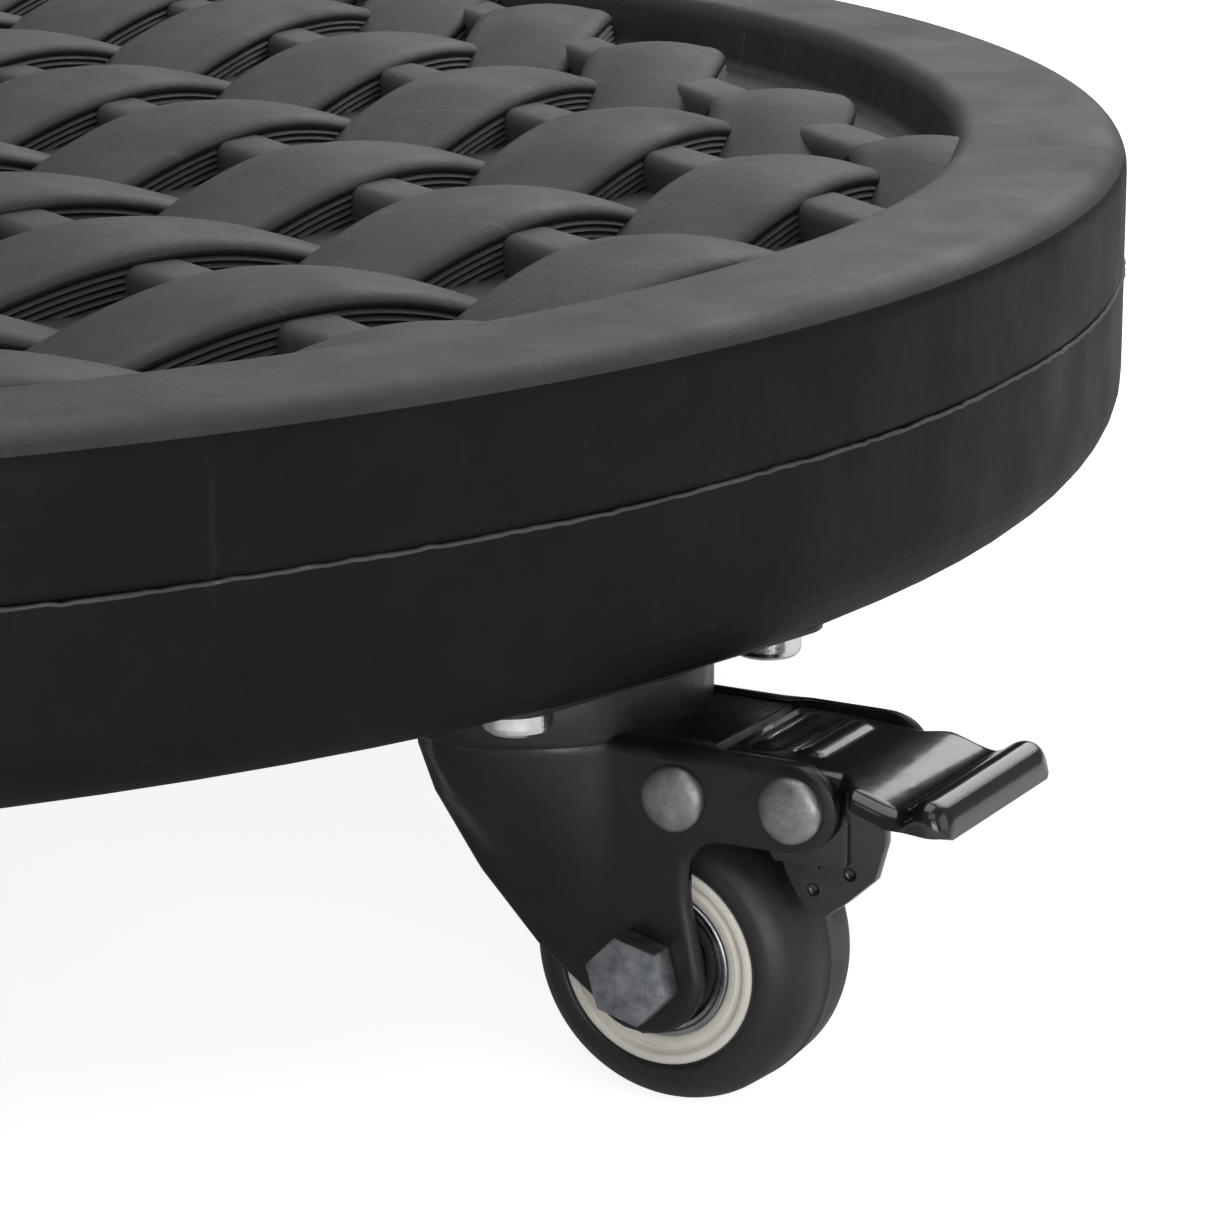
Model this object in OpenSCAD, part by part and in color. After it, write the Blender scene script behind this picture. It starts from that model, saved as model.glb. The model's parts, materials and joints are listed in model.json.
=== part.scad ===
// Round plant pot caddy: a hollow deck with a wicker relief, carried on four braked swivel castors.
// Origin at the deck's centre on the floor, +Z up. Castors stand on the diagonals.

/* [Deck] */
// Outer diameter of the deck
deck_d = 475; // [465:1:485]
// Thickness of the deck from its underside to its rim
deck_t = 43.5; // [42:0.5:46]
// Width of the flat rim around the weave
rim_w = 26; // [24:1:28]
// Depth of the weave floor below the rim
weave_depth = 10; // [9:0.5:11]
// Height of the wicker arches above the weave floor
arch_h = 9; // [6:0.5:9]
// Wall thickness of both shells
wall = 3; // [2.6:0.1:3.4]

/* [Castors] */
// Distance of each swivel axis from the deck's centre
castor_r = 206.7; // [200:0.1:207]
// Height of a castor from the floor to the deck's underside
castor_h = 55; // [55:0.5:56]
// Wheel diameter
wheel_d = 38; // [37:0.5:38]
// Distance of the axle behind the swivel axis
trail = 22; // [21:0.5:22]
// Angle of each fork from the outward direction at rest
rest_turn = 13.8; // [-180:0.1:180]
// Diameter of the axle bolt
axle_d = 6; // [5.5:0.1:6]

/* [Hidden] */
deck_r = deck_d / 2;
deck_z = castor_h;
rim_z = deck_z + deck_t;
floor_z = rim_z - weave_depth;
parting_z = rim_z - 18.9;
well_r = deck_r - rim_w;
top_edge_r = 4;
bottom_edge_r = 9;

// Wicker pattern: rods cross the deck, strips arch over every second rod
weave_turn = 120;
rod_pitch = 0.234 * deck_r;
rod_r = 5.5;
arch_w = 23;
arch_mid = 13.5;
arch_reach = 37;
rod_numbers = [for (n = [-3:3]) n + 0.6];

// Castor plate, sunk flush in a pocket of the underside, and its screws
plate_size = [48, 60];
plate_t = 2;
plate_z = castor_h;
plate_top = plate_z + plate_t;
plate_corner = 6;
pocket_gap = 0.3;
screw_span = [36, 45];
screw_r = 2.5;
screw_hole_r = 2.7;
screw_head_r = 4.3;
screw_head_h = 3.4;
screw_head_round = 1.1;
boss_r = 7;
boss_h = 16;

// Swivel head
kingpin_r = 4;
kingpin_flange_r = 6.5;
kingpin_head_r = 7.5;
race_in_r = 10;
race_out_r = 16.8;
race_h = 3.4;
ball_ring_r = 13.4;
ball_count = 16;
ball_r = 1.57;
head_r = 21.8;
skirt_h = 5.8;
skirt_t = 1.7;
run_gap = 0.08;
fit_gap = 0.02;

// Fork: side plates stand either side of the wheel
sheet = 2;
fork_out = 13.8;
fork_in = fork_out - sheet;
fork_top = 29.4;
axle_z = wheel_d / 2;
axle_r = axle_d / 2;
axle_boss_r = 8;
anchor_rivet = [4.5, 23];
brake_pivot = [20.2, 23.9];
ear_r = 5.5;
bridge_x = 9;
rivet_r = 2.5;
rivet_head_r = 4.3;
rivet_head_h = 1.6;
rivet_dome_r = 6.6;

// Wheel
core_r = 13.1;
core_half = 9.85;
tyre_half = 10.7;
tread_round = 7;
bearing_r = 9.5;
bearing_w = 6;
inner_ring_r = 6.2;
spacer_r = 4.6;
hex_flats = 10;
bolt_head_h = 4;
nut_h = 5;

// Brake pedal
cheek_out = 11.5;
cheek_t = 1.8;
pedal_half = 15;
pedal_t = 1.4;
pedal_nose = 10;
pedal_ribs = [13.2, 19.2];
rib_r = 2.6;
rib_reach = 8.6;
cheek_r = 5.2;
far_foot = 15.2;
shoe_x = 20.9;
shoe_t = 1.5;
shoe_half = 5.5;

fine = 96;
small = 48;

// Angle of each castor around the deck
front_right = -45;
rear_right = 45;
rear_left = 135;
front_left = 225;

// Points along an arc about a centre
function arc(centre, r, from, to, steps = 8) =
    [for (k = [0:steps]) let (a = from + (to - from) * k / steps) centre + r * [cos(a), sin(a)]];

// Direction of a wicker rod: the rods fan out gently towards the far side
function rod_angle(m) = weave_turn - sign(m) * 1.05 * pow(max(0, abs(m) - 0.6), 2);

// Sideways distance of a rod from the deck's centre
function rod_offset(m) = rod_pitch * (m - sign(m) * 0.31 * pow(max(0, abs(m) - 2.6), 2));

// Distance along a rod of a strip's datum, arch_mid short of its middle
function strip_along(i, m) = deck_r * (0.0325 * m * m - 0.685 + (0.0875 + 0.0014 * m * m) * i);

// Crossing point of strip i and rod m
function crossing(i, m) =
    let (a = rod_angle(m), along = strip_along(i, m) + arch_mid)
    rod_offset(m) * [sin(a), -cos(a)] + along * [cos(a), sin(a)];

// Direction of strip i where it crosses rod m
function strip_angle(i, m) =
    let (d = crossing(i, m + 0.5) - crossing(i, m - 0.5)) atan2(d[1], d[0]);

module at_castor(angle) rotate([0, 0, angle]) translate([castor_r, 0, 0]) children();

// Swivelled frame: origin at the axle's middle, +X towards the pedal, +Y towards the nut
module on_swivel(angle)
    at_castor(angle) rotate([0, 0, rest_turn]) translate([trail, 0, axle_z]) children();

// Turn a side outline (x, z) into a plate between two distances along Y
module side_plate(from, to)
    translate([0, to, 0]) rotate([90, 0, 0]) linear_extrude(to - from) children();

module along_axle() rotate([-90, 0, 0]) children();

module both_sides() {
    children();
    mirror([0, 1, 0]) children();
}

module screw_places()
    for (x = [-1, 1], y = [-1, 1])
        translate([x * screw_span[0] / 2, y * screw_span[1] / 2, 0]) children();

// Blank of the castor plate, grown by some margin all round
module plate_blank(grow, h) {
    size = plate_size + 2 * [grow, grow];
    corner = plate_corner + grow;
    linear_extrude(h) {
        for (x = [-1, 1], y = [-1, 1])
            translate([x * (size[0] / 2 - corner), y * (size[1] / 2 - corner)])
                circle(r = corner, $fn = small);
        square([size[0], size[1] - 2 * corner], center = true);
        square([size[0] - 2 * corner, size[1]], center = true);
    }
}

// One arch of a wicker strip, lying along X with its middle over the origin
module wicker_arch() {
    arch_r = (arch_reach * arch_reach + arch_h * arch_h) / (2 * arch_h);
    half = asin(arch_reach / arch_r);
    rotate([90, 0, 0])
        linear_extrude(arch_w, center = true)
            polygon(concat(arc([0, arch_h - arch_r], arch_r, 90 - half, 90 + half, 10),
                           [[-arch_reach, -2.2], [arch_reach, -2.2]]));
}

module wicker() {
    rod_sink = 1;
    intersection() {
        translate([0, 0, floor_z - 1.6]) cylinder(r = well_r + 1.7, h = weave_depth + 1, $fn = fine);
        union() {
            for (m = rod_numbers)
                rotate([0, 0, rod_angle(m)])
                    translate([0, -rod_offset(m), floor_z - rod_sink])
                        rotate([0, 90, 0])
                            cylinder(r = rod_r, h = 2 * well_r, center = true, $fn = small);
            for (j = [-4:3], i = [-4:22]) {
                m = j + 0.6;
                place = crossing(i, m);
                if (abs(i + j) % 2 == 1 && norm(place) < well_r + 4)
                    translate([place[0], place[1], floor_z])
                        rotate([0, 0, strip_angle(i, m)]) wicker_arch();
            }
        }
    }
}

module deck_upper_shell() color([0.16, 0.16, 0.17]) {
    rotate_extrude($fn = 2 * fine)
        polygon(concat(
            [[0, floor_z], [well_r, floor_z], [well_r + 1, rim_z]],
            arc([deck_r - top_edge_r, rim_z - top_edge_r], top_edge_r, 90, 0, 6),
            [[deck_r, parting_z], [deck_r - wall, parting_z], [deck_r - wall, rim_z - wall],
             [well_r + wall, rim_z - wall], [well_r + wall, floor_z - wall], [0, floor_z - wall]]));
    wicker();
}

module deck_lower_shell() color([0.14, 0.14, 0.15]) {
    rib_top = floor_z - wall - 0.2;
    rib_radii = [40, 100, 160];
    pocket_top = plate_top + fit_gap;
    pad_limit = deck_r - 6.5;
    difference() {
        union() {
            rotate_extrude($fn = 2 * fine)
                polygon(concat(
                    [[0, deck_z]],
                    arc([deck_r - bottom_edge_r, deck_z + bottom_edge_r], bottom_edge_r, -90, 0, 8),
                    [[deck_r, parting_z], [deck_r - wall, parting_z],
                     [deck_r - wall, deck_z + bottom_edge_r],
                     [deck_r - bottom_edge_r, deck_z + wall], [0, deck_z + wall]]));
            for (r = rib_radii)
                translate([0, 0, deck_z + 1])
                    difference() {
                        cylinder(r = r + wall / 2, h = rib_top - deck_z - 1, $fn = fine);
                        translate([0, 0, -1])
                            cylinder(r = r - wall / 2, h = rib_top - deck_z + 1, $fn = fine);
                    }
            for (angle = [front_right, rear_right, rear_left, front_left])
                at_castor(angle) screw_places()
                    translate([0, 0, deck_z + 1]) cylinder(r = boss_r, h = boss_h, $fn = small);
            intersection() {
                translate([0, 0, deck_z + 1])
                    cylinder(r = pad_limit, h = pocket_top + wall - deck_z - 1, $fn = 2 * fine);
                for (angle = [front_right, rear_right, rear_left, front_left])
                    at_castor(angle) translate([0, 0, deck_z]) plate_blank(wall, 2 * wall);
            }
        }
        for (angle = [front_right, rear_right, rear_left, front_left]) {
            at_castor(angle) translate([0, 0, deck_z - 1])
                plate_blank(pocket_gap, pocket_top - deck_z + 1);
            at_castor(angle) screw_places()
                translate([0, 0, deck_z - 1])
                    cylinder(r = screw_r + fit_gap, h = boss_h, $fn = small);
        }
    }
}

module hex_bar(flats, h) cylinder(r = flats / sqrt(3), h = h, $fn = 6);

// Pan-head screws with a cross recess
module castor_screws() color([0.78, 0.79, 0.8]) {
    grip = 14;
    recess = [5, 1, 1.3];
    sides = 36;
    for (angle = [front_right, rear_right, rear_left, front_left])
        at_castor(angle) screw_places() translate([0, 0, plate_z - screw_head_h])
            difference() {
                union() {
                    rotate_extrude($fn = sides)
                        polygon(concat(
                            [[0, screw_head_h], [0, 0]],
                            arc([screw_head_r - screw_head_round, screw_head_round],
                                screw_head_round, -90, 0, 3),
                            [[screw_head_r, screw_head_h]]));
                    translate([0, 0, 1.5]) cylinder(r = screw_r, h = grip + 1.5, $fn = sides);
                }
                for (turn = [0, 90])
                    rotate([0, 0, turn]) cube([recess[0], recess[1], 2 * recess[2]], center = true);
            }
}

module kingpins() color([0.6, 0.6, 0.62]) {
    low = axle_z + fork_top - sheet - 1.6;
    for (angle = [front_right, rear_right, rear_left, front_left])
        at_castor(angle) {
            translate([0, 0, low]) cylinder(r = kingpin_r, h = plate_top - low, $fn = small);
            translate([0, 0, low]) cylinder(r = kingpin_head_r, h = 1.6 - fit_gap, $fn = small);
            translate([0, 0, plate_top - 1])
                cylinder(r = kingpin_flange_r, h = 1, $fn = small);
        }
}

module castor_plate() color([0.1, 0.1, 0.11])
    difference() {
        union() {
            translate([0, 0, plate_z]) plate_blank(0, plate_t);
            translate([0, 0, plate_z - race_h]) cylinder(r = race_out_r, h = race_h + 1, $fn = fine);
        }
        translate([0, 0, plate_z - race_h - 1]) cylinder(r = race_in_r, h = race_h + 1, $fn = fine);
        translate([0, 0, plate_z - 1]) cylinder(r = kingpin_r + fit_gap, h = plate_t + 2, $fn = small);
        translate([0, 0, plate_top - 1])
            cylinder(r = kingpin_flange_r + fit_gap, h = 2, $fn = small);
        screw_places() translate([0, 0, plate_z - 1])
            cylinder(r = screw_hole_r, h = plate_t + 2, $fn = small);
    }

// Ring of balls between the plate's race and the fork's head
module race_balls() color([0.7, 0.7, 0.72])
    for (k = [0:ball_count - 1])
        rotate([0, 0, 360 * k / ball_count])
            translate([ball_ring_r, 0, (axle_z + fork_top + plate_z - race_h) / 2])
                sphere(r = ball_r, $fn = small);

// Side outline of one fork plate, axle at the origin
module fork_outline() {
    circle(r = axle_boss_r, $fn = small);
    translate(brake_pivot) circle(r = ear_r, $fn = small);
    polygon(concat(
        [[-6.6, -4.5], [-14.4, 1.1], [-22.7, 9.6], [-29.2, 18.7], [-31.6, 24.5], [-32, fork_top],
         [bridge_x, fork_top - 0.4], brake_pivot + [0, ear_r - 0.9], brake_pivot - [0, ear_r]],
        arc([11, 13.3], 5, 90, 180, 5),
        [[6, 10], [axle_boss_r, 0]]));
}

module fork() color([0.06, 0.06, 0.065])
    difference() {
        union() {
            both_sides() side_plate(fork_in, fork_out) fork_outline();
            translate([-trail, 0, fork_top - sheet]) cylinder(r = head_r, h = sheet, $fn = fine);
            translate([-31.8, -fork_out, fork_top - sheet])
                cube([31.8 + bridge_x - 2, 2 * fork_out, sheet]);
            translate([-trail, 0, fork_top - 0.5])
                difference() {
                    cylinder(r = head_r, h = skirt_h + 0.5, $fn = fine);
                    translate([0, 0, -1])
                        cylinder(r = head_r - skirt_t, h = skirt_h + 3, $fn = fine);
                }
        }
        translate([-trail, 0, fork_top - sheet - 1])
            cylinder(r = kingpin_r + run_gap, h = sheet + 2, $fn = small);
        along_axle() translate([0, 0, -fork_out - 1])
            cylinder(r = axle_r + fit_gap, h = 2 * fork_out + 2, $fn = small);
        for (at = [anchor_rivet, brake_pivot])
            translate([at[0], 0, at[1]]) along_axle() translate([0, 0, -fork_out - 1])
                cylinder(r = rivet_r + fit_gap, h = 2 * fork_out + 2, $fn = small);
    }

module rivets() color([0.5, 0.49, 0.5])
    for (at = [anchor_rivet, brake_pivot])
        translate([at[0], 0, at[1]]) along_axle() {
            translate([0, 0, -fork_out]) cylinder(r = rivet_r, h = 2 * fork_out, $fn = small);
            for (turn = [0, 180])
                rotate([turn, 0, 0])
                    intersection() {
                        translate([0, 0, fork_out])
                            cylinder(r = rivet_head_r, h = rivet_head_h, $fn = small);
                        translate([0, 0, fork_out + rivet_head_h - rivet_dome_r])
                            sphere(r = rivet_dome_r, $fn = fine);
                    }
        }

module axle_bolt() color([0.5, 0.52, 0.55])
    along_axle() {
        translate([0, 0, -fork_out - bolt_head_h]) rotate([0, 0, 14]) hex_bar(hex_flats, bolt_head_h);
        translate([0, 0, -fork_out - 1])
            cylinder(r = axle_r, h = 2 * fork_out + nut_h + 2, $fn = small);
    }

module axle_nut() color([0.55, 0.56, 0.58])
    along_axle()
        difference() {
            translate([0, 0, fork_out]) hex_bar(hex_flats, nut_h);
            translate([0, 0, fork_out - 1]) cylinder(r = axle_r + fit_gap, h = nut_h + 2, $fn = small);
        }

// Inner rings of both bearings with the spacers between them and the fork
module axle_sleeve() color([0.6, 0.6, 0.6])
    along_axle()
        difference() {
            union() {
                translate([0, 0, -fork_in]) cylinder(r = spacer_r, h = 2 * fork_in, $fn = small);
                for (side = [-1, 1])
                    translate([0, 0, side * (core_half - 0.4 - bearing_w / 2)])
                        cylinder(r = inner_ring_r, h = bearing_w, center = true, $fn = small);
            }
            translate([0, 0, -fork_in - 1])
                cylinder(r = axle_r + fit_gap, h = 2 * fork_in + 2, $fn = small);
        }

module bearings() color([0.45, 0.46, 0.48])
    along_axle()
        for (side = [-1, 1])
            translate([0, 0, side * (core_half - 0.4 - bearing_w / 2)])
                difference() {
                    cylinder(r = bearing_r - fit_gap, h = bearing_w, center = true, $fn = fine);
                    cylinder(r = inner_ring_r + run_gap, h = bearing_w + 2, center = true, $fn = small);
                    for (end = [-1, 1])
                        translate([0, 0, end * bearing_w / 2])
                            cylinder(r = bearing_r - 1.1, h = 0.8, center = true, $fn = small);
                }

module wheel_core() color([0.82, 0.78, 0.72])
    along_axle()
        rotate_extrude($fn = fine)
            polygon([[inner_ring_r - 0.7, -2.8], [bearing_r, -3.4], [bearing_r, 0.5 - core_half],
                     [10.9, 0.5 - core_half], [11.1, 1.4 - core_half], [11.9, 1.4 - core_half],
                     [12.1, -core_half], [core_r - fit_gap, -core_half],
                     [core_r - fit_gap, core_half], [12.1, core_half],
                     [11.9, core_half - 1.4], [11.1, core_half - 1.4], [10.9, core_half - 0.5],
                     [bearing_r, core_half - 0.5], [bearing_r, 3.4], [inner_ring_r - 0.7, 2.8]]);

module tyre() color([0.1, 0.1, 0.105])
    along_axle()
        rotate_extrude($fn = 2 * small)
            polygon(concat(
                [[core_r, -core_half + 0.1]],
                [[core_r + 0.5, 0.1 - core_half]],
                arc([axle_z - tread_round, tread_round - tyre_half], tread_round, -52, 0, 7),
                arc([axle_z - tread_round, tyre_half - tread_round], tread_round, 0, 52, 7),
                [[core_r + 0.5, core_half - 0.1], [core_r, core_half - 0.1]]));

// Leaf spring hooked round the anchor rivet and resting under the pedal
module brake_spring() color([0.4, 0.4, 0.42]) {
    leaf = 0.8;
    hook_in = rivet_r + 0.1;
    side_plate(-3.5, 3.5)
        translate(anchor_rivet) {
            difference() {
                circle(r = hook_in + leaf, $fn = small);
                circle(r = hook_in, $fn = small);
                translate([0, -10]) square([10, 10]);
            }
            translate([-1, hook_in]) square([9, leaf]);
        }
}

// Pedal sheet seen from the side: from the nose between the ears out to the rolled lip
module pedal_sheet_outline(from_x, to_x)
    intersection() {
        translate([from_x, 0]) square([to_x - from_x, 60]);
        polygon(concat(
            [[pedal_nose, 28.9], [24, 28.5], [33.6, 26]],
            arc([38.2, 24.6], 3.2, 112, 0, 6),
            [[41.4, 22.6], [40, 22.6]],
            arc([38.2, 24.6], 1.8, 0, 112, 5),
            [[33.9, 24.5], [24, 27.1], [pedal_nose, 28.9 - pedal_t]]));
    }

module cheek_outline() {
    translate(brake_pivot) circle(r = cheek_r, $fn = small);
    polygon([[15.2, 22.5], [19.4, 12.4], [22.2, 9.6], [24.2, 9.9], [30.2, 16.2], [31.6, 20.8],
             [31.3, 24.8], [24, 27.6], [12.6, 28], [14, 25]]);
}

// The cheek on the nut side ends higher up
module short_cheek_outline() intersection() {
    cheek_outline();
    translate([10, far_foot]) square([30, 30]);
}

// Plate between the cheeks with a narrow tongue that meets the tyre
module brake_shoe()
    translate([shoe_x, 0, 0]) rotate([90, 0, 90]) linear_extrude(shoe_t)
        polygon([[-shoe_half, 9.8], [shoe_half, 9.8], [shoe_half, far_foot + 0.6],
                 [cheek_out - 0.5, far_foot + 0.6], [cheek_out - 0.5, 20], [0.5 - cheek_out, 20],
                 [0.5 - cheek_out, far_foot + 0.6], [-shoe_half, far_foot + 0.6]]);

// Rounded rib pressed up across the pedal
module pedal_rib(x)
    intersection() {
        translate([x, 0, 28.1]) {
            along_axle() cylinder(r = rib_r, h = 2 * (rib_reach - rib_r), center = true, $fn = small);
            for (side = [-1, 1])
                translate([0, side * (rib_reach - rib_r), 0]) sphere(r = rib_r, $fn = small);
        }
        translate([x - rib_r - 1, -rib_reach - 1, 27.9])
            cube([2 * rib_r + 2, 2 * rib_reach + 2, 2 * rib_r]);
    }

module brake_pedal() color([0.04, 0.04, 0.045])
    difference() {
        union() {
            side_plate(-cheek_out, cheek_out) pedal_sheet_outline(pedal_nose, 27);
            for (x = pedal_ribs) pedal_rib(x);
            side_plate(-pedal_half, pedal_half) pedal_sheet_outline(26.6, 42);
            side_plate(-cheek_out, cheek_t - cheek_out) cheek_outline();
            side_plate(cheek_out - cheek_t, cheek_out) short_cheek_outline();
            brake_shoe();
        }
        translate([brake_pivot[0], 0, brake_pivot[1]]) along_axle()
            translate([0, 0, -cheek_out - 1])
                cylinder(r = rivet_r + run_gap, h = 2 * cheek_out + 2, $fn = small);
    }

deck_upper_shell();
deck_lower_shell();
castor_screws();
kingpins();
at_castor(front_right) castor_plate();  // front_right_plate
at_castor(front_right) race_balls();  // front_right_race_balls
on_swivel(front_right) fork();  // front_right_fork
on_swivel(front_right) rivets();  // front_right_rivets
on_swivel(front_right) axle_bolt();  // front_right_axle_bolt
on_swivel(front_right) axle_nut();  // front_right_axle_nut
on_swivel(front_right) axle_sleeve();  // front_right_axle_sleeve
on_swivel(front_right) brake_spring();  // front_right_brake_spring
on_swivel(front_right) wheel_core();  // front_right_wheel_core
on_swivel(front_right) tyre();  // front_right_tyre
on_swivel(front_right) bearings();  // front_right_bearings
on_swivel(front_right) brake_pedal();  // front_right_brake_pedal
at_castor(rear_right) castor_plate();  // rear_right_plate
at_castor(rear_right) race_balls();  // rear_right_race_balls
on_swivel(rear_right) fork();  // rear_right_fork
on_swivel(rear_right) rivets();  // rear_right_rivets
on_swivel(rear_right) axle_bolt();  // rear_right_axle_bolt
on_swivel(rear_right) axle_nut();  // rear_right_axle_nut
on_swivel(rear_right) axle_sleeve();  // rear_right_axle_sleeve
on_swivel(rear_right) brake_spring();  // rear_right_brake_spring
on_swivel(rear_right) wheel_core();  // rear_right_wheel_core
on_swivel(rear_right) tyre();  // rear_right_tyre
on_swivel(rear_right) bearings();  // rear_right_bearings
on_swivel(rear_right) brake_pedal();  // rear_right_brake_pedal
at_castor(rear_left) castor_plate();  // rear_left_plate
at_castor(rear_left) race_balls();  // rear_left_race_balls
on_swivel(rear_left) fork();  // rear_left_fork
on_swivel(rear_left) rivets();  // rear_left_rivets
on_swivel(rear_left) axle_bolt();  // rear_left_axle_bolt
on_swivel(rear_left) axle_nut();  // rear_left_axle_nut
on_swivel(rear_left) axle_sleeve();  // rear_left_axle_sleeve
on_swivel(rear_left) brake_spring();  // rear_left_brake_spring
on_swivel(rear_left) wheel_core();  // rear_left_wheel_core
on_swivel(rear_left) tyre();  // rear_left_tyre
on_swivel(rear_left) bearings();  // rear_left_bearings
on_swivel(rear_left) brake_pedal();  // rear_left_brake_pedal
at_castor(front_left) castor_plate();  // front_left_plate
at_castor(front_left) race_balls();  // front_left_race_balls
on_swivel(front_left) fork();  // front_left_fork
on_swivel(front_left) rivets();  // front_left_rivets
on_swivel(front_left) axle_bolt();  // front_left_axle_bolt
on_swivel(front_left) axle_nut();  // front_left_axle_nut
on_swivel(front_left) axle_sleeve();  // front_left_axle_sleeve
on_swivel(front_left) brake_spring();  // front_left_brake_spring
on_swivel(front_left) wheel_core();  // front_left_wheel_core
on_swivel(front_left) tyre();  // front_left_tyre
on_swivel(front_left) bearings();  // front_left_bearings
on_swivel(front_left) brake_pedal();  // front_left_brake_pedal
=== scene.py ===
"""Looks for the plant pot caddy: wicker deck, four braked castors, a pale studio."""
import json
import math

import bmesh
import bpy
import numpy as np
from mathutils import Matrix, Vector

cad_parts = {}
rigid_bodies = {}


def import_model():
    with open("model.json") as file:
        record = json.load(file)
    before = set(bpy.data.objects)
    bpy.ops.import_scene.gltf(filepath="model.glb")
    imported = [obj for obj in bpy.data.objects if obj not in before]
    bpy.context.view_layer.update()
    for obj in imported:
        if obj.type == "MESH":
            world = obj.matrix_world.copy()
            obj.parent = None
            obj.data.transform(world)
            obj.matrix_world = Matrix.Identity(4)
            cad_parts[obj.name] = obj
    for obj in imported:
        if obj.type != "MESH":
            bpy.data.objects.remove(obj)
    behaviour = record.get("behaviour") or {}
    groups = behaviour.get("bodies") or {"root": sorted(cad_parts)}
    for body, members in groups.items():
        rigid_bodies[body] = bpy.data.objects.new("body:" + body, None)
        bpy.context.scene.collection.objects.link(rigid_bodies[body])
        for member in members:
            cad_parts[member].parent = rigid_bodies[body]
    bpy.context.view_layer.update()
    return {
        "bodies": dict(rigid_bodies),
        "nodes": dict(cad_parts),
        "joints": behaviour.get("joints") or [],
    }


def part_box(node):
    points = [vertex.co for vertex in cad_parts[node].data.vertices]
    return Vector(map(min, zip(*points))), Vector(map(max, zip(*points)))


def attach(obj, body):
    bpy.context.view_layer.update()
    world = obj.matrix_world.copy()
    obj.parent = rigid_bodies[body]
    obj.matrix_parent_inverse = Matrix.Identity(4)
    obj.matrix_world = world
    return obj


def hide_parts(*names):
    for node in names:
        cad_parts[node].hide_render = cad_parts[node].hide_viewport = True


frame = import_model()

MM = 0.001
JOINTS = {j["name"]: j for j in frame["joints"]}
CASTORS = sorted(n[:-len("_swivel")] for n in frame["bodies"] if n.endswith("_swivel"))

# ---------------------------------------------------------------- deck sizes (mm, from the frame)
shell_low, shell_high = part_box("deck_upper_shell")
DECK_R = (shell_high.x - shell_low.x) / 2 / MM
RIM_Z = shell_high.z / MM
PARTING_Z = shell_low.z / MM
RIM_W = 26.0
WELL_R = DECK_R - RIM_W
WEAVE_DEPTH = 10.0
FLOOR_Z = RIM_Z - WEAVE_DEPTH
ARCH_H = 9.0
WALL = 3.0
rng = np.random.default_rng(7)


# ================================================================ mesh helpers
def mesh_object(name, verts, faces):
    """A mesh object from vertices in millimetres."""
    mesh = bpy.data.meshes.new(name)
    mesh.from_pydata((np.asarray(verts, float) * MM).tolist(), [], faces)
    mesh.validate()
    mesh.update()
    obj = bpy.data.objects.new(name, mesh)
    bpy.context.scene.collection.objects.link(obj)
    mesh.polygons.foreach_set("use_smooth", [True] * len(mesh.polygons))
    return obj


def grid_faces(rows, cols, close_rows=False, close_cols=False, offset=0):
    """Quads of a rows x cols grid of vertices."""
    faces = []
    for r in range(rows if close_rows else rows - 1):
        for c in range(cols if close_cols else cols - 1):
            a = r * cols + c
            b = r * cols + (c + 1) % cols
            d = ((r + 1) % rows) * cols + c
            e = ((r + 1) % rows) * cols + (c + 1) % cols
            faces.append((offset + a, offset + b, offset + e, offset + d))
    return faces


def arc(cx, cy, r, start, end, steps):
    """Points on an arc, angles in degrees."""
    t = np.radians(np.linspace(start, end, steps + 1))
    return [(cx + r * math.cos(a), cy + r * math.sin(a)) for a in t]


def revolve(name, profile, steps, axis="z"):
    """A closed ring from a closed (radius, height) outline."""
    profile = np.asarray(profile, float)
    turn = np.linspace(0, 2 * np.pi, steps, endpoint=False)
    r, h = profile[:, 0], profile[:, 1]
    if axis == "z":
        rings = [np.stack([r * np.cos(t), r * np.sin(t), h], 1) for t in turn]
    else:
        rings = [np.stack([r * np.cos(t), h, -r * np.sin(t)], 1) for t in turn]
    verts = np.concatenate(rings)
    faces = grid_faces(steps, len(profile), True, True)
    return mesh_object(name, verts, faces)


def lathe_cap(name, profile, steps):
    """A solid of revolution about Y whose open outline starts and ends on the axis."""
    profile = np.asarray(profile, float)
    inner = profile[1:-1]
    turn = np.linspace(0, 2 * np.pi, steps, endpoint=False)
    rings = [np.stack([inner[:, 0] * np.cos(t), inner[:, 1], -inner[:, 0] * np.sin(t)], 1)
             for t in turn]
    count = len(inner)
    verts = np.concatenate(rings + [[[0, profile[0, 1], 0]], [[0, profile[-1, 1], 0]]])
    faces = grid_faces(steps, count, True, False)
    first, last = steps * count, steps * count + 1
    for k in range(steps):
        n = (k + 1) % steps
        faces.append((first, n * count, k * count))
        faces.append((last, k * count + count - 1, n * count + count - 1))
    return mesh_object(name, verts, faces)


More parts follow.
